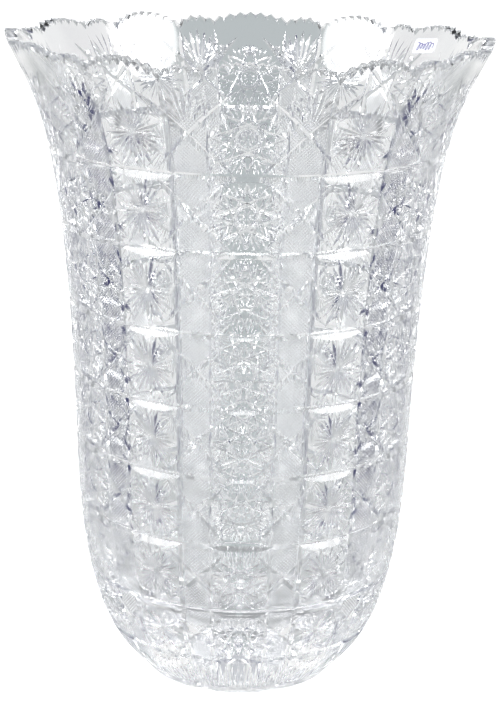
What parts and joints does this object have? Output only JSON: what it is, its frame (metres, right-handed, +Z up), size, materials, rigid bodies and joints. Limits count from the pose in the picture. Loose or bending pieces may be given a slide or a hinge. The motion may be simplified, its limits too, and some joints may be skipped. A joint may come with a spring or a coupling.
{
  "type": "cut crystal vase",
  "caption": "Tall flared vase of thick clear cut crystal, with a scalloped saw-toothed rim, a net of mitre cuts with star and hobstar motifs, and a blank paper price label inside the rim.",
  "frame": {"origin": "centre of the flat foot, on the surface that the vase stands on", "axes": "+Z up along the vase's axis, -Y towards the front, which is the middle of a hobstar column; +X to the right"},
  "size_m": [0.259, 0.2586, 0.355],
  "materials": {
    "crystal": "polished clear lead crystal with deep mitre cuts",
    "label_paper": "matte white self-adhesive label paper"
  },
  "bodies": {
    "root": {"vase": "crystal", "price_label": "label_paper"}
  },
  "joints": []
}
